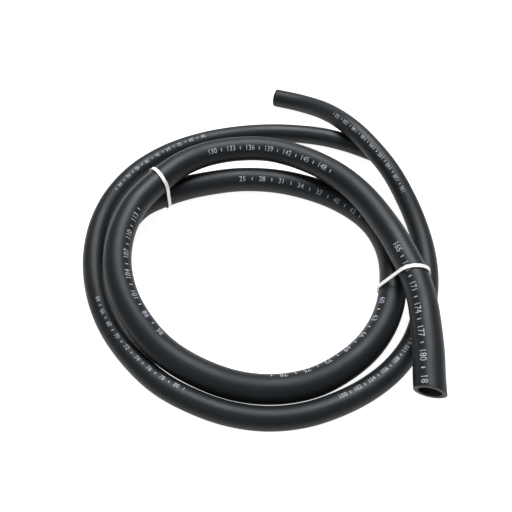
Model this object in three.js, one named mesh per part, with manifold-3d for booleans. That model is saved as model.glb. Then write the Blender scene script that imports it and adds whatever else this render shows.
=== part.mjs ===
// Coil of rubber fuel hose: a thick and a thin length wound together, with two cable ties.
// Millimetres, +Z up, origin on the floor under the middle of the coil.
import * as THREE from 'three';
import Module from 'manifold-3d';
import { mergeVertices } from 'three/addons/utils/BufferGeometryUtils.js';

// Hose sections
const thickBore = 25;
const thickWall = 5;
const thinBore = 19;
const thinWall = 4.5;
const hoseSides = 14;
const stepPerDiameter = 0.85;

// The thick hose's open end is cut askew, its right side and its top the longer. The setback is from
// the route's start, both angles are degrees from a square cut, and the offcut is a block of that size.
const openEndSetback = 9.8;
const openEndSkew = -10;
const openEndOverhang = 4.5;
const openEndOffcut = 60;

// How high a strand rides where it crosses over another one of its own hose
const thickRideGap = 3.5;
const thinRideGap = 1;

// Cable ties
const tieWidth = 4.8;
const tieThickness = 1.2;
const tieClearance = 1.1;
const tieHeadLength = 7;
const tieHeadWidth = 7.4;
const tieHeadHeight = 5;
const tieLoopPoints = 72;

// Colours
const rubberColour = 0x2b2d30;
const thinRubberColour = 0x2d2e31;
const nylonColour = 0xf2f3f3;

const thickRadius = thickBore / 2 + thickWall;
const thinRadius = thinBore / 2 + thinWall;
const thickRide = 2 * thickRadius + thickRideGap;
const thinRide = 2 * thinRadius + thinRideGap;

// Route of the thick hose from its open end at the front right to its hidden end at the left.
// Each row is x, y and how far up the strand rides: 0 on the floor, 1 over another strand.
const thickRoute = [
  [181.8, -266, 1], [185.6, -237, 1], [189.6, -212, 1], [192.6, -182, 1], [194.2, -142, 1],
  [190.3, -107, 1], [181.9, -74, 1], [169.2, -36.5, 1], [141.2, 19.5, 1], [108.5, 60, 0.97],
  [67, 92.3, 0.89], [17, 113.8, 0.83], [-30, 115.8, 0.81], [-71, 105.8, 0.84], [-97, 91.5, 0.89],
  [-117.5, 73, 0.96], [-140, 45.2, 1], [-154, 26.5, 1], [-167.3, 2.8, 1], [-178.8, -42, 0.98],
  [-178.4, -87.6, 0.9], [-166.4, -129, 0.7], [-144.3, -164.2, 0.45], [-117, -192.3, 0.24], [-80.7, -214.9, 0.07],
  [-30.2, -234.3, 0.012], [18, -239.2, 0.003], [65, -230.2, 0], [107, -207, 0.001], [136, -181, 0.008],
  [159, -146, 0.03], [172.5, -105, 0.07], [177, -54, 0.04], [168, -14, 0.014], [150, 16, 0.003],
  [117, 45, 0], [74, 67, 0], [24, 81, 0], [-28, 83.5, 0.003], [-73, 76, 0.015],
  [-107, 65.8, 0.04], [-138.5, 51, 0.07], [-169, 32, 0.04], [-186.5, 5.5, 0.014], [-191.6, -25, 0.003],
  [-190.5, -52, 0],
];

// Route of the thin hose from its free end at the back to its hidden end under that same stretch
const thinRoute = [
  [29.7, 272.7, 0], [71.3, 253.9, 0.14], [109, 220.7, 0.52], [142.7, 168, 1], [168.6, 126, 1],
  [193.2, 82.6, 0.76], [210.8, 42.2, 0.38], [222.1, 0, 0.1], [225.8, -45, 0.01], [221.7, -90, 0],
  [210, -132, 0], [188, -179, 0], [159, -213, 0], [127, -237, 0], [91, -255, 0],
  [51.2, -267.7, 0], [9, -271.9, 0], [-33, -266.6, 0], [-73.7, -253, 0], [-117.5, -229.7, 0],
  [-156.6, -194.4, 0], [-189.3, -151.4, 0], [-212.3, -101.8, 0], [-224.4, -48, 0], [-224.5, 6, 0],
  [-211.6, 56.8, 0], [-184, 104, 0], [-143, 141, 0], [-92, 167, 0], [-29, 183, 0],
  [34, 187, 0], [98, 179, 0], [142, 164, 0], [182, 143, 0],
];

// Each tie holds the thick hose's strands at two rows of its route, in an upright plane across them
const ties = [
  { name: 'left_tie', upperRow: 16, lowerRow: 41 },
  { name: 'right_tie', upperRow: 5, lowerRow: 31 },
];

const up = new THREE.Vector3(0, 0, 1);
const wasm = await Module();
wasm.setup();

function hosePath(route, radius, ride) {
  const points = route.map(([x, y, share]) => new THREE.Vector3(x, y, radius + share * ride));
  return new THREE.CatmullRomCurve3(points, false, 'centripetal');
}

// Ring section with the bore open from end to end
function hoseSection(outerRadius, innerRadius) {
  const section = new THREE.Shape(ringPoints(outerRadius));
  section.holes.push(new THREE.Path(ringPoints(innerRadius)));
  return section;
}

function ringPoints(radius) {
  return Array.from({ length: hoseSides }, (_, side) => {
    const angle = (2 * Math.PI * side) / hoseSides;
    return new THREE.Vector2(radius * Math.cos(angle), radius * Math.sin(angle));
  });
}

function makeHose(name, path, outerRadius, innerRadius, colour) {
  const steps = Math.round(path.getLength() / (2 * outerRadius * stepPerDiameter));
  const geometry = new THREE.ExtrudeGeometry(hoseSection(outerRadius, innerRadius), {
    steps,
    extrudePath: path,
    bevelEnabled: false,
  });
  const material = new THREE.MeshStandardMaterial({ color: colour, roughness: 0.55, metalness: 0 });
  const hose = new THREE.Mesh(geometry, material);
  hose.name = name;
  return hose;
}

// Takes off what lies in front of the skewed cut
function cutOpenEnd(hose, path) {
  const outward = path.getTangentAt(0).negate();
  outward.applyAxisAngle(up, THREE.MathUtils.degToRad(openEndSkew));
  outward.setZ(-Math.tan(THREE.MathUtils.degToRad(openEndOverhang))).normalize();
  const middle = path.getPointAt(openEndSetback / path.getLength());
  const offcut = new THREE.BoxGeometry(openEndOffcut, openEndOffcut, openEndOffcut);
  offcut.translate(0, 0, openEndOffcut / 2).lookAt(outward).translate(...middle);
  hose.geometry = toGeometry(toSolid(hose.geometry).subtract(toSolid(offcut)));
}

// Where the route runs at one of its own rows
function strandAt(path, row) {
  return { point: path.points[row], direction: path.getTangent(row / (path.points.length - 1)) };
}

// Outline that a tight band takes round the strands' oval sections, at a distance from them
function bandOutline(sections, distance) {
  return Array.from({ length: tieLoopPoints }, (_, i) => {
    const angle = (2 * Math.PI * i) / tieLoopPoints;
    const along = new THREE.Vector2(Math.cos(angle), Math.sin(angle));
    const touches = sections.map(({ centre, halfWidth, halfHeight }) => {
      const reach = Math.hypot(halfWidth * along.x, halfHeight * along.y);
      const onOval = new THREE.Vector2(
        (halfWidth ** 2 * along.x) / reach,
        (halfHeight ** 2 * along.y) / reach,
      );
      return onOval.add(centre);
    });
    const outermost = touches.reduce((a, b) => (a.dot(along) > b.dot(along) ? a : b));
    return outermost.clone().addScaledVector(along, distance);
  });
}

function toSolid(geometry) {
  const bare = geometry.clone();
  bare.deleteAttribute('normal');
  bare.deleteAttribute('uv');
  const merged = mergeVertices(bare, 1e-4);
  return new wasm.Manifold(new wasm.Mesh({
    numProp: 3,
    vertProperties: new Float32Array(merged.attributes.position.array),
    triVerts: new Uint32Array(merged.index.array),
  }));
}

function toGeometry(solid) {
  const mesh = solid.getMesh();
  const geometry = new THREE.BufferGeometry();
  geometry.setAttribute('position', new THREE.BufferAttribute(mesh.vertProperties, 3));
  geometry.setIndex(new THREE.BufferAttribute(mesh.triVerts, 1));
  geometry.computeVertexNormals();
  return geometry;
}

// Longest straight stretch of an outline on its outer side, where the head sits
function outerFlat(outline) {
  const edges = outline.map((start, i) => ({ start, end: outline[(i + 1) % outline.length] }));
  const beside = edges.filter(({ start }) => start.x > 0);
  return beside.reduce((a, b) => (a.start.distanceTo(a.end) > b.start.distanceTo(b.end) ? a : b));
}

function makeTieHead({ start, end }) {
  const alongFlat = end.clone().sub(start).normalize();
  const outward = new THREE.Vector2(alongFlat.y, -alongFlat.x);
  const seat = start.clone().add(end).multiplyScalar(0.5);
  seat.addScaledVector(outward, (tieHeadHeight - tieThickness) / 2);
  const head = new THREE.BoxGeometry(tieHeadHeight, tieHeadLength, tieHeadWidth);
  head.rotateZ(outward.angle());
  head.translate(seat.x, seat.y, 0);
  return head;
}

// Oval that a strand fills over the tie's width, in the across and up of the tie's own plane
function strandSection({ point, direction }, middle, across, normal) {
  const forward = direction.dot(normal);
  const ahead = middle.clone().sub(point).dot(normal) / forward;
  const crossing = point.clone().addScaledVector(direction, ahead).sub(middle);
  const sideways = Math.abs(direction.dot(across) / forward);
  const upwards = Math.abs(direction.z / forward);
  return {
    centre: new THREE.Vector2(crossing.dot(across), crossing.z),
    halfWidth: thickRadius * Math.hypot(1, sideways) + (tieWidth / 2) * sideways,
    halfHeight: thickRadius * Math.hypot(1, upwards) + (tieWidth / 2) * upwards,
  };
}

function makeTie({ name, upperRow, lowerRow }, path) {
  const strands = [upperRow, lowerRow].map((row) => strandAt(path, row));
  const normal = strands[0].direction.clone().add(strands[1].direction).setZ(0).normalize();
  const across = normal.clone().cross(up);
  const middle = strands[0].point.clone().add(strands[1].point).multiplyScalar(0.5);
  const sections = strands.map((strand) => strandSection(strand, middle, across, normal));

  const outline = bandOutline(sections, tieClearance + tieThickness);
  const band = new THREE.Shape(outline);
  band.holes.push(new THREE.Path(bandOutline(sections, tieClearance)));
  const strap = new THREE.ExtrudeGeometry(band, { depth: tieWidth, bevelEnabled: false });
  strap.translate(0, 0, -tieWidth / 2);
  const whole = toSolid(strap).add(toSolid(makeTieHead(outerFlat(outline))));

  const material = new THREE.MeshStandardMaterial({ color: nylonColour, roughness: 0.4, metalness: 0 });
  const tie = new THREE.Mesh(toGeometry(whole), material);
  tie.name = name;
  const placing = new THREE.Matrix4().makeBasis(across, up, across.clone().cross(up));
  tie.applyMatrix4(placing.setPosition(middle));
  return tie;
}

const thickPath = hosePath(thickRoute, thickRadius, thickRide);
const thinPath = hosePath(thinRoute, thinRadius, thinRide);

const thickHose = makeHose('thick_hose', thickPath, thickRadius, thickBore / 2, rubberColour);
cutOpenEnd(thickHose, thickPath);

const coil = new THREE.Group();
coil.add(thickHose);
coil.add(makeHose('thin_hose', thinPath, thinRadius, thinBore / 2, thinRubberColour));
ties.forEach((tie) => coil.add(makeTie(tie, thickPath)));

export default coil;
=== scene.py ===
import math

import bmesh
import bpy
import numpy as np
from mathutils import Matrix, Vector


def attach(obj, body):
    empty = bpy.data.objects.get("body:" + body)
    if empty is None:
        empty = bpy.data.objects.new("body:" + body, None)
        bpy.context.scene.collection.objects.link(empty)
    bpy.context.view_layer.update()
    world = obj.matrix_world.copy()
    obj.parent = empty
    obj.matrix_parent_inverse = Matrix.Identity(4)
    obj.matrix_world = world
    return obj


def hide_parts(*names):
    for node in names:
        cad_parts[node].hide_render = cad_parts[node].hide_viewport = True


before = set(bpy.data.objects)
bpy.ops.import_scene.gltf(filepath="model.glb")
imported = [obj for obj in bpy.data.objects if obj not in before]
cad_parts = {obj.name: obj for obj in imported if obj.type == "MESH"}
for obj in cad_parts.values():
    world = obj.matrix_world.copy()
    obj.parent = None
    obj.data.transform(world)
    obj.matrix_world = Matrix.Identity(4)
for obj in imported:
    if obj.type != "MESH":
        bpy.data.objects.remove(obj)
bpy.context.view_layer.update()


# Camera
# It stands over the front of the coil and looks down on it at 56 degrees.
camera_data = bpy.data.cameras.new("camera")
camera_data.sensor_fit = "HORIZONTAL"
camera_data.sensor_width = 36
camera_data.lens = 37.27
camera = bpy.data.objects.new("camera", camera_data)
camera.location = (-0.004, -0.4534, 0.610)
look = Vector((-0.004, -0.042, 0)) - camera.location
camera.rotation_euler = look.to_track_quat("-Z", "Y").to_euler()
bpy.context.scene.collection.objects.link(camera)
bpy.context.scene.camera = camera


# Thick hose
# Extruded rubber hose with a 25 mm bore and a layer of yarn in the middle of its wall,
# cut a little askew at its open end. It lies in about a turn and a half, the first part on
# top of the last.
thick_outer = 0.0175
thick_inner = 0.0125
thick_route = [
    (0.1831, -0.2563, 0.056), (0.1856, -0.237, 0.056), (0.1896, -0.212, 0.056),
    (0.1926, -0.182, 0.056), (0.1942, -0.142, 0.056), (0.1903, -0.107, 0.056),
    (0.1819, -0.074, 0.056), (0.1692, -0.0365, 0.056), (0.1412, 0.0195, 0.056),
    (0.1085, 0.06, 0.05484), (0.067, 0.0923, 0.05176), (0.017, 0.1138, 0.04946),
    (-0.03, 0.1158, 0.04868), (-0.071, 0.1058, 0.04984), (-0.097, 0.0915, 0.05176),
    (-0.1175, 0.073, 0.05446), (-0.14, 0.0452, 0.056), (-0.154, 0.0265, 0.056),
    (-0.1673, 0.0028, 0.056), (-0.1788, -0.042, 0.05523), (-0.1784, -0.0876, 0.05215),
    (-0.1664, -0.129, 0.04445), (-0.1443, -0.1642, 0.03482), (-0.117, -0.1923, 0.02674),
    (-0.0807, -0.2149, 0.0202), (-0.0302, -0.2343, 0.01796), (0.018, -0.2392, 0.01762),
    (0.065, -0.2302, 0.0175), (0.107, -0.207, 0.01754), (0.136, -0.181, 0.01781),
    (0.159, -0.146, 0.01866), (0.1725, -0.105, 0.0202), (0.177, -0.054, 0.01904),
    (0.168, -0.014, 0.01804), (0.15, 0.016, 0.01762), (0.117, 0.045, 0.0175),
    (0.074, 0.067, 0.0175), (0.024, 0.081, 0.0175), (-0.028, 0.0835, 0.01762),
    (-0.073, 0.076, 0.01808), (-0.107, 0.0658, 0.01904), (-0.1385, 0.051, 0.0202),
    (-0.169, 0.032, 0.01904), (-0.1865, 0.0055, 0.01804), (-0.1916, -0.025, 0.01762),
    (-0.1905, -0.052, 0.0175),
]
route_parts = 32
ring_step = 0.004
ring_sides = 56
cut_edge = 0.0004
cut_edge_points = 5
cut_rings = 8
saw_depth = 0.00005
saw_seed = 11
yarn_place = 0.55
yarn_width = 0.0006
open_end_skew = (math.tan(math.radians(10)), math.tan(math.radians(4.5)))
skew_reach = 0.028


def hose_line(route):
    """Smooth centre line through the route's points, with points evenly apart"""
    points = np.array(route)
    points = np.vstack([2 * points[0] - points[1], points, 2 * points[-1] - points[-2]])
    fine = []
    for before, start, end, after in zip(points, points[1:], points[2:], points[3:]):
        lead, span, trail = (
            math.sqrt(np.linalg.norm(b - a))
            for a, b in ((before, start), (start, end), (end, after))
        )
        leave = (start - before) / lead - (end - before) / (lead + span) + (end - start) / span
        arrive = (end - start) / span - (after - start) / (span + trail) + (after - end) / trail
        for u in np.linspace(0, 1, route_parts, endpoint=False):
            fine.append(
                (2 * u**3 - 3 * u**2 + 1) * start
                + (u**3 - 2 * u**2 + u) * span * leave
                + (3 * u**2 - 2 * u**3) * end
                + (u**3 - u**2) * span * arrive
            )
    fine.append(points[-2])
    fine = np.array(fine)
    along = np.concatenate([[0], np.cumsum(np.linalg.norm(np.diff(fine, axis=0), axis=1))])
    even = np.linspace(0, along[-1], round(along[-1] / ring_step) + 1)
    return np.stack([np.interp(even, along, fine[:, axis]) for axis in range(3)], axis=1)


def line_length(line):
    return float(np.linalg.norm(np.diff(line, axis=0), axis=1).sum())


def line_axes(line):
    """Which way the line runs, its level sideways direction, and the direction up from both"""
    ahead = np.gradient(line, axis=0)
    ahead /= np.linalg.norm(ahead, axis=1)[:, None]
    side = np.cross(ahead, (0, 0, 1))
    side /= np.linalg.norm(side, axis=1)[:, None]
    return ahead, side, np.cross(side, ahead)


def cut_profile(outer, inner):
    """How the wall turns from outside to bore at a cut: (radius, reach back from the cut)"""
    turn = np.linspace(0, math.pi / 2, cut_edge_points)
    outside = [(outer - cut_edge + cut_edge * math.cos(t), cut_edge * (1 - math.sin(t))) for t in turn]
    face = [(r, 0.0) for r in np.linspace(outer - cut_edge, inner + cut_edge, cut_rings)[1:-1]]
    inside = [(inner + cut_edge - cut_edge * math.sin(t), cut_edge - cut_edge * math.cos(t)) for t in turn]
    return outside + face + inside


def hose_object(name, line, outer, inner, materials, skew=(0.0, 0.0)):
    """Hollow hose along a line, its first end cut with a skew to the side and to the top. Each point
    keeps where it lies on the hose laid out straight."""
    ahead, side, up = line_axes(line)
    along = np.linspace(0, line_length(line), len(line))
    whole = [(i, outer, 0.0, 0) for i in range(1, len(line) - 1)]
    last = len(line) - 1
    finish = cut_profile(outer, inner)
    cut_slot = [1] * (len(finish) - 1) + [2]
    whole += [(last, r, -back, slot) for (r, back), slot in zip(finish, cut_slot)]
    whole += [(i, inner, 0.0, 2) for i in range(last - 1, 0, -1)]
    whole += [(0, r, back, slot) for (r, back), slot in zip(finish[::-1], [1] * (len(finish) - 1) + [0])]

    angles = np.linspace(0, 2 * math.pi, ring_sides, endpoint=False)
    rng = np.random.default_rng(saw_seed)
    saw_marks = rng.normal(0, saw_depth, ring_sides)
    corners, straight, slots = [], [], []
    for i, radius, back, slot in whole:
        lean = radius * max(0.0, 1 - along[i] / skew_reach)
        rough = saw_marks * (back == 0.0 and i in (0, last) and slot == 1)
        for angle, rise in zip(angles, rough):
            across = math.cos(angle) * up[i] + math.sin(angle) * side[i]
            behind = back - lean * (skew[0] * math.sin(angle) + skew[1] * math.cos(angle))
            corners.append(line[i] + radius * across + (behind + rise) * ahead[i])
            straight.append((radius * math.cos(angle), radius * math.sin(angle), along[i] + behind))
        slots.append(slot)
    faces, face_slots = [], []
    rings = len(whole)
    for k in range(rings):
        nearer, farther = k * ring_sides, ((k + 1) % rings) * ring_sides
        for j in range(ring_sides):
            beside = (j + 1) % ring_sides
            faces.append((nearer + j, farther + j, farther + beside, nearer + beside))
            face_slots.append(slots[k])
    mesh = bpy.data.meshes.new(name)
    mesh.from_pydata([tuple(c) for c in corners], [], faces)
    mesh.attributes.new("straight", "FLOAT_VECTOR", "POINT").data.foreach_set("vector", np.ravel(straight))
    for material in materials:
        mesh.materials.append(material)
    mesh.polygons.foreach_set("material_index", face_slots)
    mesh.polygons.foreach_set("use_smooth", [True] * len(faces))
    shell = bmesh.new()
    shell.from_mesh(mesh)
    if shell.calc_volume(signed=True) < 0:
        bmesh.ops.reverse_faces(shell, faces=shell.faces[:])
    shell.to_mesh(mesh)
    shell.free()
    hose = bpy.data.objects.new(name, mesh)
    bpy.context.scene.collection.objects.link(hose)
    return hose


def new_material(name):
    material = bpy.data.materials.new(name)
    material.use_nodes = True
    nodes = material.node_tree.nodes
    return material, nodes, material.node_tree.links, nodes["Principled BSDF"]


def hose_noise(nodes, links, stretch, scale, detail=2.0, roughness=0.5):
    """Noise that follows the hose: stretch is how it is drawn out round and along the hose"""
    laid = nodes.new("ShaderNodeAttribute")
    laid.attribute_name = "straight"
    mapping = nodes.new("ShaderNodeMapping")
    mapping.inputs["Scale"].default_value = stretch
    noise = nodes.new("ShaderNodeTexNoise")
    noise.inputs["Scale"].default_value = scale
    noise.inputs["Detail"].default_value = detail
    noise.inputs["Roughness"].default_value = roughness
    links.new(laid.outputs["Vector"], mapping.inputs["Vector"])
    links.new(mapping.outputs["Vector"], noise.inputs["Vector"])
    return noise.outputs["Fac"]


def ramp(nodes, links, value, stops):
    """Colour ramp over a value, with (place, colour) stops"""
    node = nodes.new("ShaderNodeValToRGB")
    elements = node.color_ramp.elements
    elements[0].position, elements[0].color = stops[0][0], (*stops[0][1], 1)
    elements[1].position, elements[1].color = stops[-1][0], (*stops[-1][1], 1)
    for place, colour in stops[1:-1]:
        elements.new(place).color = (*colour, 1)
    links.new(value, node.inputs["Fac"])
    return node.outputs["Color"]


def spread(nodes, links, value, low, high, to_low, to_high):
    """The value's range from low to high, carried over to another range"""
    node = nodes.new("ShaderNodeMapRange")
    for socket, number in zip(("From Min", "From Max", "To Min", "To Max"), (low, high, to_low, to_high)):
        node.inputs[socket].default_value = number
    links.new(value, node.inputs["Value"])
    return node.outputs["Result"]


def mixed(nodes, links, share, first, second):
    node = nodes.new("ShaderNodeMix")
    node.data_type = "RGBA"
    links.new(share, node.inputs["Factor"])
    for socket, source in ((node.inputs[6], first), (node.inputs[7], second)):
        if isinstance(source, tuple):
            socket.default_value = (*source, 1)
        else:
            links.new(source, socket)
    return node.outputs[2]


def bumped(nodes, links, height, distance, strength, under=None):
    node = nodes.new("ShaderNodeBump")
    node.inputs["Strength"].default_value = strength
    node.inputs["Distance"].default_value = distance
    links.new(height, node.inputs["Height"])
    if under is not None:
        links.new(under, node.inputs["Normal"])
    return node.outputs["Normal"]


def rubber_skin(name, dark, light, dust):
    """Outside of an extruded hose: fine grain, faint draw lines along it, bloom and rubbed spots"""
    material, nodes, links, shader = new_material(name)
    cloud = hose_noise(nodes, links, (1, 1, 0.35), 38, 3)
    lines = hose_noise(nodes, links, (1, 1, 0.012), 520, 2)
    grain = hose_noise(nodes, links, (1, 1, 1), 1900, 2, 0.6)
    scuff = hose_noise(nodes, links, (1, 1, 0.5), 150, 5, 0.7)
    base = ramp(nodes, links, cloud, [(0.32, dark), (0.68, light)])
    rubbed = spread(nodes, links, scuff, 0.60, 0.74, 0.0, 0.55)
    tone = mixed(nodes, links, rubbed, base, dust)
    links.new(tone, shader.inputs["Base Color"])
    sheen = spread(nodes, links, cloud, 0.3, 0.7, 0.54, 0.42)
    patchy = nodes.new("ShaderNodeMath")
    patchy.operation = "MULTIPLY_ADD"
    patchy.inputs[1].default_value = 0.22
    links.new(rubbed, patchy.inputs[0])
    links.new(sheen, patchy.inputs[2])
    links.new(patchy.outputs["Value"], shader.inputs["Roughness"])
    drawn = bumped(nodes, links, lines, 0.0002, 0.30)
    links.new(bumped(nodes, links, grain, 0.00016, 0.55, drawn), shader.inputs["Normal"])
    shader.inputs["Specular IOR Level"].default_value = 0.27
    shader.inputs["Specular Tint"].default_value = (0.93, 0.97, 1.0, 1)
    return material


def cut_rubber(name, outer, inner):
    """Sawn face of the wall: brownish grey, with the ends of the yarn in a ring inside it"""
    material, nodes, links, shader = new_material(name)
    laid = nodes.new("ShaderNodeAttribute")
    laid.attribute_name = "straight"
    flat = nodes.new("ShaderNodeVectorMath")
    flat.operation = "MULTIPLY"
    flat.inputs[1].default_value = (1, 1, 0)
    radius = nodes.new("ShaderNodeVectorMath")
    radius.operation = "LENGTH"
    links.new(laid.outputs["Vector"], flat.inputs[0])
    links.new(flat.outputs["Vector"], radius.inputs[0])
    middle = inner + yarn_place * (outer - inner)
    ring = spread(nodes, links, radius.outputs["Value"], middle - yarn_width, middle, 0.0, 1.0)
    ring_out = spread(nodes, links, radius.outputs["Value"], middle, middle + yarn_width, 1.0, 0.0)
    both = nodes.new("ShaderNodeMath")
    both.operation = "MULTIPLY"
    links.new(ring, both.inputs[0])
    links.new(ring_out, both.inputs[1])
    threads = spread(nodes, links, hose_noise(nodes, links, (1, 1, 1), 900, 1), 0.42, 0.58, 0.2, 1.0)
    yarn = nodes.new("ShaderNodeMath")
    yarn.operation = "MULTIPLY"
    links.new(both.outputs["Value"], yarn.inputs[0])
    links.new(threads, yarn.inputs[1])
    grain = hose_noise(nodes, links, (1, 1, 1), 1400, 4, 0.7)
    face = ramp(nodes, links, grain, [(0.3, (0.030, 0.029, 0.028)), (0.7, (0.062, 0.059, 0.056))])
    tone = mixed(nodes, links, yarn.outputs["Value"], face, (0.20, 0.18, 0.155))
    links.new(tone, shader.inputs["Base Color"])
    links.new(bumped(nodes, links, grain, 0.0003, 0.5), shader.inputs["Normal"])
    shader.inputs["Roughness"].default_value = 0.72
    shader.inputs["Specular IOR Level"].default_value = 0.35
    return material


def bore_rubber(name):
    """Lining of the bore: plain black rubber with faint rings round it, a little dusty"""
    material, nodes, links, shader = new_material(name)
    cloud = hose_noise(nodes, links, (1, 1, 0.3), 70, 3)
    links.new(ramp(nodes, links, cloud, [(0.3, (0.008, 0.008, 0.009)), (0.75, (0.018, 0.018, 0.019))]),
              shader.inputs["Base Color"])
    links.new(spread(nodes, links, cloud, 0.3, 0.7, 0.45, 0.62), shader.inputs["Roughness"])
    rings = hose_noise(nodes, links, (0.05, 0.05, 1), 700, 2)
    links.new(bumped(nodes, links, rings, 0.0002, 0.25), shader.inputs["Normal"])
    return material


lining = bore_rubber("bore_rubber")
thick_line = hose_line(thick_route)
thick_hose = hose_object("fuel_hose_thick", thick_line, thick_outer, thick_inner, [
    rubber_skin(
        "thick_hose_rubber", (0.0042, 0.0058, 0.0072), (0.0076, 0.0096, 0.0114), (0.022, 0.024, 0.026)
    ),
    cut_rubber("thick_hose_cut", thick_outer, thick_inner),
    lining,
], open_end_skew)
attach(thick_hose, "root")
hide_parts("thick_hose")


# Thin hose
# The same kind of hose with a 19 mm bore. It goes round outside the thick one on the floor
# and crosses over itself at the back right.
thin_outer = 0.014
thin_inner = 0.0095
thin_route = [
    (0.0297, 0.2727, 0.014), (0.0713, 0.2539, 0.01806), (0.109, 0.2207, 0.02908),
    (0.1427, 0.168, 0.043), (0.1686, 0.126, 0.043), (0.1932, 0.0826, 0.03604),
    (0.2108, 0.0422, 0.02502), (0.2221, 0, 0.0169), (0.2258, -0.045, 0.01429),
    (0.2217, -0.09, 0.014), (0.21, -0.132, 0.014), (0.188, -0.179, 0.014),
    (0.159, -0.213, 0.014), (0.127, -0.237, 0.014), (0.091, -0.255, 0.014),
    (0.0512, -0.2677, 0.014), (0.009, -0.2719, 0.014), (-0.033, -0.2666, 0.014),
    (-0.0737, -0.253, 0.014), (-0.1175, -0.2297, 0.014), (-0.1566, -0.1944, 0.014),
    (-0.1893, -0.1514, 0.014), (-0.2123, -0.1018, 0.014), (-0.2244, -0.048, 0.014),
    (-0.2245, 0.006, 0.014), (-0.2116, 0.0568, 0.014), (-0.184, 0.104, 0.014),
    (-0.143, 0.141, 0.014), (-0.092, 0.167, 0.014), (-0.029, 0.183, 0.014),
    (0.034, 0.187, 0.014), (0.098, 0.179, 0.014), (0.142, 0.164, 0.014),
    (0.182, 0.143, 0.014),
]
thin_line = hose_line(thin_route)
thin_hose = hose_object("fuel_hose_thin", thin_line, thin_outer, thin_inner, [
    rubber_skin(
        "thin_hose_rubber", (0.0046, 0.0062, 0.0074), (0.0082, 0.0102, 0.0118), (0.023, 0.025, 0.027)
    ),
    cut_rubber("thin_hose_cut", thin_outer, thin_inner),
    lining,
])
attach(thin_hose, "root")
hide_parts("thin_hose")


# Length marks
# A line of length marks that is printed along each hose in grey ink: a plain number at every
# step, with a short stroke between two numbers.
ink_height = 0.00006
digit_width = 0.94
stroke_gap_share = 1 / 1.6
stroke_thickness_share = 0.13
stroke_height_share = 0.42
turn_smoothing = 12
clear_end = 0.0030
centimetres_per_metre = 100
thick_turn = [
    (0.0, -33), (0.12, -44), (0.19, -32), (0.43, -44), (0.55, -36), (0.70, -52), (0.74, -60), (0.80, -42),
    (0.85, -46), (0.90, -38), (1.12, -46), (1.20, -46), (1.24, -42), (1.41, -56), (1.46, -46), (1.55, -34),
    (1.60, -42), (1.83, -50),
]
thin_turn = [
    (0.0, 20), (0.15, 40), (0.23, 27), (0.31, 21), (0.45, 10), (0.55, 8), (0.61, 22), (0.66, 12),
    (0.82, 26), (0.9, 12), (0.98, -4), (1.1, 10), (1.2, 18), (1.29, 26), (1.39, 9), (1.54, -6), (1.66, -6),
]


def printing_ink():
    """Grey marking ink that has worn off in places"""
    material, nodes, links, shader = new_material("marking_ink")
    where = nodes.new("ShaderNodeTexCoord")
    worn = nodes.new("ShaderNodeTexNoise")
    worn.inputs["Scale"].default_value = 1300
    worn.inputs["Detail"].default_value = 3
    links.new(where.outputs["Object"], worn.inputs["Vector"])
    links.new(ramp(nodes, links, worn.outputs["Fac"], [
        (0.30, (0.070, 0.080, 0.092)), (0.48, (0.29, 0.33, 0.38)), (0.7, (0.42, 0.46, 0.52)),
    ]), shader.inputs["Base Color"])
    shader.inputs["Roughness"].default_value = 0.6
    return material


def turned_line(name, line, turn):
    """Centre line of a hose as an edge mesh, which keeps how far round the hose the marks sit"""
    mesh = bpy.data.meshes.new(name)
    mesh.from_pydata([tuple(p) for p in line], [(i, i + 1) for i in range(len(line) - 1)], [])
    along = np.linspace(0, line_length(line), len(line))
    degrees = np.interp(along, *zip(*turn))
    window = 2 * turn_smoothing + 1
    padded = np.pad(degrees, turn_smoothing, mode="edge")
    smooth = np.convolve(padded, np.ones(window) / window, mode="valid")
    mesh.attributes.new("turn", "FLOAT", "POINT").data.foreach_set("value", np.radians(smooth))
    marks = bpy.data.objects.new(name, mesh)
    bpy.context.scene.collection.objects.link(marks)
    return marks


def wire(links, *pairs):
    for source, target in pairs:
        links.new(source, target)


def node_with(nodes, kind, **settings):
    node = nodes.new(kind)
    for setting, value in settings.items():
        setattr(node, setting, value)
    return node


def calculated(nodes, links, operation, first, second):
    """One step of arithmetic on sockets or numbers"""
    node = node_with(nodes, "ShaderNodeMath", operation=operation)
    for socket, source in zip(node.inputs, (first, second)):
        if isinstance(source, (int, float)):
            socket.default_value = source
        else:
            links.new(source, socket)
    return node.outputs["Value"]


def vector_step(nodes, links, operation, first, second):
    node = node_with(nodes, "ShaderNodeVectorMath", operation=operation)
    for socket, source in zip(node.inputs, (first, second)):
        if isinstance(source, tuple):
            socket.default_value = source
        else:
            links.new(source, socket)
    return node.outputs["Vector"]


def scaled(nodes, links, vector, factor):
    node = node_with(nodes, "ShaderNodeVectorMath", operation="SCALE")
    wire(links, (vector, node.inputs[0]), (factor, node.inputs["Scale"]))
    return node.outputs["Vector"]


mark_tree = bpy.data.node_groups.new("length_marks", "GeometryNodeTree")
mark_tree.interface.new_socket("Geometry", in_out="OUTPUT", socket_type="NodeSocketGeometry")
mark_tree.interface.new_socket("Geometry", in_out="INPUT", socket_type="NodeSocketGeometry")
mark_inputs = {}
for title, kind in (
    ("Hose radius", "NodeSocketFloat"), ("Letter height", "NodeSocketFloat"), ("Step", "NodeSocketFloat"),
    ("Start", "NodeSocketFloat"), ("Repeat", "NodeSocketFloat"), ("Numbers", "NodeSocketInt"),
    ("Numbers each", "NodeSocketInt"), ("First number", "NodeSocketInt"), ("Strokes", "NodeSocketInt"),
    ("Clear end", "NodeSocketFloat"), ("Ink height", "NodeSocketFloat"), ("Ink", "NodeSocketMaterial"),
):
    mark_inputs[title] = mark_tree.interface.new_socket(title, in_out="INPUT", socket_type=kind).identifier
nodes, links = mark_tree.nodes, mark_tree.links
given = nodes.new("NodeGroupInput").outputs

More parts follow.
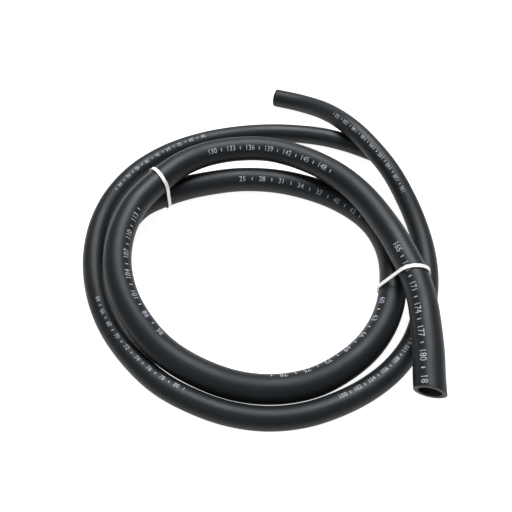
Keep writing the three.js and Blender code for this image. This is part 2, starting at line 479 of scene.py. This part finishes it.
# The flat row of marks: the loop adds one number and the strokes after it at each turn
loop_start = nodes.new("GeometryNodeRepeatInput")
loop_end = nodes.new("GeometryNodeRepeatOutput")
loop_start.pair_with_output(loop_end)
loop_end.repeat_items.clear()
loop_end.repeat_items.new("GEOMETRY", "Row")
links.new(given["Numbers"], loop_start.inputs["Iterations"])
turn_count = loop_start.outputs["Iteration"]
group_share = calculated(nodes, links, "DIVIDE", turn_count, given["Numbers each"])
group = calculated(nodes, links, "FLOOR", group_share, 0)
in_group = calculated(nodes, links, "MODULO", turn_count, given["Numbers each"])
from_first = calculated(nodes, links, "ADD", calculated(nodes, links, "MULTIPLY", group, given["Repeat"]),
                        calculated(nodes, links, "MULTIPLY", in_group, given["Step"]))
number = calculated(nodes, links, "ADD", given["First number"],
                    calculated(nodes, links, "MULTIPLY", from_first, centimetres_per_metre))
to_text = nodes.new("FunctionNodeValueToString")
to_glyphs = node_with(nodes, "GeometryNodeStringToCurves", align_x="CENTER", align_y="MIDDLE")
coarse = nodes.new("GeometryNodeSetSplineResolution")
coarse.inputs["Resolution"].default_value = 3
narrow = nodes.new("GeometryNodeTransform")
narrow.inputs["Scale"].default_value = (digit_width, 1, 1)
wire(links, (number, to_text.inputs["Value"]), (to_text.outputs["String"], to_glyphs.inputs["String"]),
     (given["Letter height"], to_glyphs.inputs["Size"]))
glyphs = nodes.new("GeometryNodeRealizeInstances")
wire(links, (to_glyphs.outputs["Curve Instances"], glyphs.inputs["Geometry"]),
     (glyphs.outputs["Geometry"], coarse.inputs["Geometry"]),
     (coarse.outputs["Geometry"], narrow.inputs["Geometry"]))
filled = node_with(nodes, "GeometryNodeFillCurve")
links.new(narrow.outputs["Geometry"], filled.inputs["Curve"])

stroke_gap = calculated(nodes, links, "MULTIPLY", given["Letter height"], stroke_gap_share)
stroke_row = node_with(nodes, "GeometryNodeMeshLine", mode="OFFSET")
first_stroke = calculated(nodes, links, "MULTIPLY", given["Step"], 0.5)
half_row = calculated(nodes, links, "MULTIPLY", stroke_gap,
                      calculated(nodes, links, "MULTIPLY",
                                 calculated(nodes, links, "SUBTRACT", given["Strokes"], 1), 0.5))
row_start = nodes.new("ShaderNodeCombineXYZ")
row_step = nodes.new("ShaderNodeCombineXYZ")
wire(links, (calculated(nodes, links, "SUBTRACT", first_stroke, half_row), row_start.inputs["X"]),
     (stroke_gap, row_step.inputs["X"]), (given["Strokes"], stroke_row.inputs["Count"]),
     (row_start.outputs["Vector"], stroke_row.inputs["Start Location"]),
     (row_step.outputs["Vector"], stroke_row.inputs["Offset"]))
stroke = nodes.new("GeometryNodeMeshGrid")
stroke.inputs["Vertices X"].default_value = 2
stroke.inputs["Vertices Y"].default_value = 3
for share, socket in ((stroke_thickness_share, "Size X"), (stroke_height_share, "Size Y")):
    stroke_size = calculated(nodes, links, "MULTIPLY", given["Letter height"], share)
    links.new(stroke_size, stroke.inputs[socket])
strokes = nodes.new("GeometryNodeInstanceOnPoints")
wire(links, (stroke_row.outputs["Mesh"], strokes.inputs["Points"]),
     (stroke.outputs["Mesh"], strokes.inputs["Instance"]))

one_step = nodes.new("GeometryNodeJoinGeometry")
links.new(filled.outputs["Mesh"], one_step.inputs["Geometry"])
links.new(strokes.outputs["Instances"], one_step.inputs["Geometry"])
placed = nodes.new("GeometryNodeTransform")
place = nodes.new("ShaderNodeCombineXYZ")
wire(links, (calculated(nodes, links, "ADD", given["Start"], from_first), place.inputs["X"]),
     (one_step.outputs["Geometry"], placed.inputs["Geometry"]),
     (place.outputs["Vector"], placed.inputs["Translation"]))
row = nodes.new("GeometryNodeJoinGeometry")
wire(links, (loop_start.outputs["Row"], row.inputs["Geometry"]),
     (placed.outputs["Geometry"], row.inputs["Geometry"]),
     (row.outputs["Geometry"], loop_end.inputs["Row"]))
flat_row = nodes.new("GeometryNodeRealizeInstances")
finer = nodes.new("GeometryNodeSubdivideMesh")
finer.inputs["Level"].default_value = 2
wire(links, (loop_end.outputs["Row"], flat_row.inputs["Geometry"]),
     (flat_row.outputs["Geometry"], finer.inputs["Mesh"]))

# Takes off the marks that come too near the cut edge of the open end
cut_off = node_with(nodes, "GeometryNodeDeleteGeometry", domain="POINT")

# Wrapping the row onto the hose: x runs back along the hose from its far end, y runs round it
to_curve = nodes.new("GeometryNodeMeshToCurve")
turn_read = node_with(nodes, "GeometryNodeInputNamedAttribute", data_type="FLOAT")
turn_read.inputs["Name"].default_value = "turn"
sample = node_with(nodes, "GeometryNodeSampleCurve", mode="LENGTH", data_type="FLOAT", use_all_curves=False)
hose_run = nodes.new("GeometryNodeCurveLength")
here = nodes.new("GeometryNodeInputPosition")
flat_place = nodes.new("ShaderNodeSeparateXYZ")
from_open_end = calculated(nodes, links, "SUBTRACT", hose_run.outputs["Length"], flat_place.outputs["X"])
wire(links, (given["Geometry"], to_curve.inputs["Mesh"]),
     (to_curve.outputs["Curve"], sample.inputs["Curves"]),
     (to_curve.outputs["Curve"], hose_run.inputs["Curve"]),
     (turn_read.outputs["Attribute"], sample.inputs["Value"]),
     (here.outputs["Position"], flat_place.inputs["Vector"]), (from_open_end, sample.inputs["Length"]))
side = vector_step(nodes, links, "CROSS_PRODUCT", sample.outputs["Tangent"], (0, 0, 1))
level = node_with(nodes, "ShaderNodeVectorMath", operation="NORMALIZE")
links.new(side, level.inputs[0])
upward = vector_step(nodes, links, "CROSS_PRODUCT", level.outputs["Vector"], sample.outputs["Tangent"])
angle = calculated(nodes, links, "ADD", sample.outputs["Value"],
                   calculated(nodes, links, "DIVIDE", flat_place.outputs["Y"], given["Hose radius"]))
lift = calculated(nodes, links, "ADD", given["Hose radius"], given["Ink height"])
round_up = scaled(nodes, links, upward, calculated(nodes, links, "MULTIPLY", lift,
                                                   calculated(nodes, links, "COSINE", angle, 0)))
round_side = scaled(nodes, links, level.outputs["Vector"],
                    calculated(nodes, links, "MULTIPLY", lift, calculated(nodes, links, "SINE", angle, 0)))
on_hose = vector_step(nodes, links, "ADD", sample.outputs["Position"],
                      vector_step(nodes, links, "ADD", round_up, round_side))
wrapped = nodes.new("GeometryNodeSetPosition")
inked = nodes.new("GeometryNodeSetMaterial")
given_out = nodes.new("NodeGroupOutput")
too_near = calculated(nodes, links, "LESS_THAN", from_open_end, given["Clear end"])
wire(links, (too_near, cut_off.inputs["Selection"]), (finer.outputs["Mesh"], cut_off.inputs["Geometry"]),
     (cut_off.outputs["Geometry"], wrapped.inputs["Geometry"]), (on_hose, wrapped.inputs["Position"]),
     (wrapped.outputs["Geometry"], inked.inputs["Geometry"]), (given["Ink"], inked.inputs["Material"]),
     (inked.outputs["Geometry"], given_out.inputs["Geometry"]))

ink = printing_ink()


def length_marks(name, line, turn, node_slot, **sizes):
    """Marks along one hose, as a plain mesh"""
    guide = turned_line(name + "_guide", line, turn)
    made = guide.modifiers.new("marks", "NODES")
    made.node_group = mark_tree
    for title, value in sizes.items():
        made[mark_inputs[title.replace("_", " ")]] = value
    made[mark_inputs["Ink height"]] = ink_height
    made[mark_inputs["Clear end"]] = clear_end
    made[mark_inputs["Ink"]] = ink
    evaluated = guide.evaluated_get(bpy.context.evaluated_depsgraph_get())
    mesh = bpy.data.meshes.new_from_object(evaluated)
    mesh.name = name
    bpy.data.objects.remove(guide)
    marks = bpy.data.objects.new(name, mesh)
    bpy.context.scene.collection.objects.link(marks)
    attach(marks, "root")
    return marks


thick_marks = length_marks(
    "thick_hose_marks", thick_line, thick_turn, "thick_rubber",
    Hose_radius=thick_outer, Letter_height=0.0108, Step=0.030, Start=0.246, Repeat=0.350, Numbers=35,
    Numbers_each=7, First_number=25, Strokes=1,
)
thin_marks = length_marks(
    "thin_hose_marks", thin_line, thin_turn, "thin_rubber",
    Hose_radius=thin_outer, Letter_height=0.0078, Step=0.020, Start=0.280, Repeat=0.360, Numbers=36,
    Numbers_each=9, First_number=28, Strokes=1,
)


# Cable ties
# Moulded nylon cable ties pulled tight round two strands of the thick hose. The strap has a
# raised rim along both edges; its end goes through the head and is cut off just past it.
strap_width = 0.0048
strap_thickness = 0.0012
strap_clearance = 0.0009
head_length = 0.007
head_width = 0.0074
head_height = 0.005
head_bevel = 0.0007
head_lip = (0.0012, 0.00315, 0.00407)
strap_stub = (0.0012, 0.0085, 0.0044)
stub_place = (0.0006, 0.0002, 0)
small_bevel = 0.0003
edge_split = math.radians(40)
tie_places = [("left_tie", 16, 41), ("right_tie", 5, 31)]


def nylon():
    """Natural nylon: milky, a little see-through and faintly uneven"""
    material, nodes, links, shader = new_material("tie_nylon")
    where = nodes.new("ShaderNodeTexCoord")
    cloud = nodes.new("ShaderNodeTexNoise")
    cloud.inputs["Scale"].default_value = 240
    cloud.inputs["Detail"].default_value = 3
    links.new(where.outputs["Object"], cloud.inputs["Vector"])
    tone = ramp(nodes, links, cloud.outputs["Fac"], [(0.3, (0.76, 0.77, 0.76)), (0.7, (0.87, 0.88, 0.87))])
    links.new(tone, shader.inputs["Base Color"])
    links.new(spread(nodes, links, cloud.outputs["Fac"], 0.3, 0.7, 0.34, 0.48), shader.inputs["Roughness"])
    links.new(bumped(nodes, links, cloud.outputs["Fac"], 0.0002, 0.2), shader.inputs["Normal"])
    shader.inputs["Subsurface Weight"].default_value = 0.25
    shader.inputs["Subsurface Radius"].default_value = (1.0, 0.95, 0.85)
    shader.inputs["Subsurface Scale"].default_value = 0.0012
    return material


def strand_oval(point, ahead, middle, across, normal):
    """Oval that a strand fills in the plane of a tie"""
    forward = float(np.dot(ahead, normal))
    crossing = point + ahead * (np.dot(middle - point, normal) / forward) - middle
    sideways = abs(np.dot(ahead, across) / forward)
    upwards = abs(ahead[2] / forward)
    return (
        np.array((np.dot(crossing, across), crossing[2])),
        thick_outer * math.hypot(1, sideways) + strap_width / 2 * sideways,
        thick_outer * math.hypot(1, upwards) + strap_width / 2 * upwards,
    )


def loop_points(ovals, distance, count=180):
    """Tight loop round the ovals at a distance from them, and which way is out at each point"""
    out = []
    for angle in np.linspace(0, 2 * math.pi, count, endpoint=False):
        along = np.array((math.cos(angle), math.sin(angle)))
        touches = []
        for centre, half_width, half_height in ovals:
            reach = math.hypot(half_width * along[0], half_height * along[1])
            touches.append(centre + np.array((half_width**2 * along[0], half_height**2 * along[1])) / reach)
        out.append((max(touches, key=lambda touch: float(np.dot(touch, along))) + along * distance, along))
    return out


def strap_section():
    """Cross-section of the strap: (out from its inner side, along its width), with rims at both edges"""
    rim, rim_height, soft = 0.0007, 0.00022, 0.00018
    half, top = strap_width / 2, strap_thickness
    floor = top - rim_height
    return [
        (0, -half + soft), (soft, -half), (top - soft, -half), (top, -half + soft), (top, -half + rim),
        (floor, -half + rim + soft), (floor, half - rim - soft), (top, half - rim), (top, half - soft),
        (top - soft, half), (soft, half), (0, half - soft),
    ]


def block(shell, size, centre, bevel):
    """A block with rounded edges"""
    corners = bmesh.ops.create_cube(shell, size=1.0)["verts"]
    bmesh.ops.scale(shell, vec=size, verts=corners)
    bmesh.ops.translate(shell, vec=centre, verts=corners)
    edges = list({edge for corner in corners for edge in corner.link_edges})
    bmesh.ops.bevel(shell, geom=edges, offset=bevel, segments=3, profile=0.5, affect="EDGES")


nylon_material = nylon()
thick_ahead = line_axes(thick_line)[0]
for name, upper_row, lower_row in tie_places:
    points = [np.array(thick_route[row]) for row in (upper_row, lower_row)]
    ways = [thick_ahead[np.argmin(np.linalg.norm(thick_line - point, axis=1))] for point in points]
    middle = (points[0] + points[1]) / 2
    normal = ways[0] + ways[1]
    normal[2] = 0
    normal /= np.linalg.norm(normal)
    across = np.cross(normal, (0, 0, 1))
    ovals = [strand_oval(point, way, middle, across, normal) for point, way in zip(points, ways)]
    loop = loop_points(ovals, strap_clearance)

    shell = bmesh.new()
    rings = []
    for place, along in loop:
        rings.append([
            shell.verts.new((*(place + along * out), wide)) for out, wide in strap_section()
        ])
    sides = len(rings[0])
    for first, second in zip(rings, rings[1:] + rings[:1]):
        for j in range(sides):
            beside = (j + 1) % sides
            shell.faces.new((first[j], second[j], second[beside], first[beside]))
    if shell.calc_volume(signed=True) < 0:
        bmesh.ops.reverse_faces(shell, faces=shell.faces[:])

    flats = [(a[0], b[0]) for a, b in zip(loop, loop[1:] + loop[:1]) if a[0][0] > 0]
    start, end = max(flats, key=lambda edge: float(np.linalg.norm(edge[1] - edge[0])))
    run = (end - start) / np.linalg.norm(end - start)
    outward = np.array((run[1], -run[0]))
    seat = (start + end) / 2 + outward * (strap_thickness + head_height) / 2
    head = bmesh.new()
    block(head, (head_height, head_length, head_width), (0, 0, 0), head_bevel)
    block(head, head_lip, (head_height / 2, 0, 0), small_bevel)
    block(head, strap_stub, stub_place, small_bevel)
    head_mesh = bpy.data.meshes.new("head")
    head.to_mesh(head_mesh)
    head.free()
    tilt = Matrix.Rotation(math.atan2(outward[1], outward[0]), 4, "Z")
    head_mesh.transform(Matrix.Translation((seat[0], seat[1], 0)) @ tilt)
    shell.from_mesh(head_mesh)
    bpy.data.meshes.remove(head_mesh)

    mesh = bpy.data.meshes.new("cable_" + name)
    shell.to_mesh(mesh)
    shell.free()
    columns = (Vector(across), Vector((0, 0, 1)), Vector(np.cross(across, (0, 0, 1))))
    placing = Matrix(columns).transposed().to_4x4()
    mesh.transform(Matrix.Translation(Vector(middle)) @ placing)
    mesh.materials.append(nylon_material)
    mesh.polygons.foreach_set("use_smooth", [True] * len(mesh.polygons))
    tie = bpy.data.objects.new("cable_" + name, mesh)
    bpy.context.scene.collection.objects.link(tie)
    tie.modifiers.new("edges", "EDGE_SPLIT").split_angle = edge_split
    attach(tie, "root")
    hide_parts(name)


# Floor and lights
# A plain white floor under wide soft lights, the stronger one overhead and towards the back.
sky_glow = 0.30
floor_reach = 6
floor_drop = 0.0004
floor_material, nodes, links, shader = new_material("white_floor")
shader.inputs["Base Color"].default_value = (0.40, 0.40, 0.40, 1)
shader.inputs["Roughness"].default_value = 0.8
shader.inputs["Specular IOR Level"].default_value = 0.1
shader.inputs["Emission Color"].default_value = (1, 1, 1, 1)
shader.inputs["Emission Strength"].default_value = 0.93
floor_mesh = bpy.data.meshes.new("floor")
floor_corners = [(x * floor_reach, y * floor_reach, 0) for x, y in ((-1, -1), (1, -1), (1, 1), (-1, 1))]
floor_mesh.from_pydata(floor_corners, [], [(0, 1, 2, 3)])
floor_mesh.transform(Matrix.Translation((0, 0, -floor_drop)))
floor_mesh.materials.append(floor_material)
floor = bpy.data.objects.new("floor", floor_mesh)
bpy.context.scene.collection.objects.link(floor)

for name, place, size, power in (
    ("overhead", (0.15, 0.80, 1.50), 1.0, 48),
    ("front_fill", (-0.6, -1.2, 1.6), 1.6, 4),
):
    light_data = bpy.data.lights.new(name, "AREA")
    light_data.shape = "SQUARE"
    light_data.size = size
    light_data.energy = power
    light = bpy.data.objects.new(name, light_data)
    light.location = place
    light.rotation_euler = (-Vector(place)).to_track_quat("-Z", "Y").to_euler()
    bpy.context.scene.collection.objects.link(light)

world = bpy.data.worlds.new("studio")
world.use_nodes = True
nodes, links = world.node_tree.nodes, world.node_tree.links
nodes["Background"].inputs["Color"].default_value = (1, 1, 1, 1)
seen = nodes.new("ShaderNodeLightPath").outputs["Is Camera Ray"]
links.new(spread(nodes, links, seen, 0, 1, sky_glow, 1), nodes["Background"].inputs["Strength"])
bpy.context.scene.world = world
bpy.context.scene.view_settings.view_transform = "Standard"
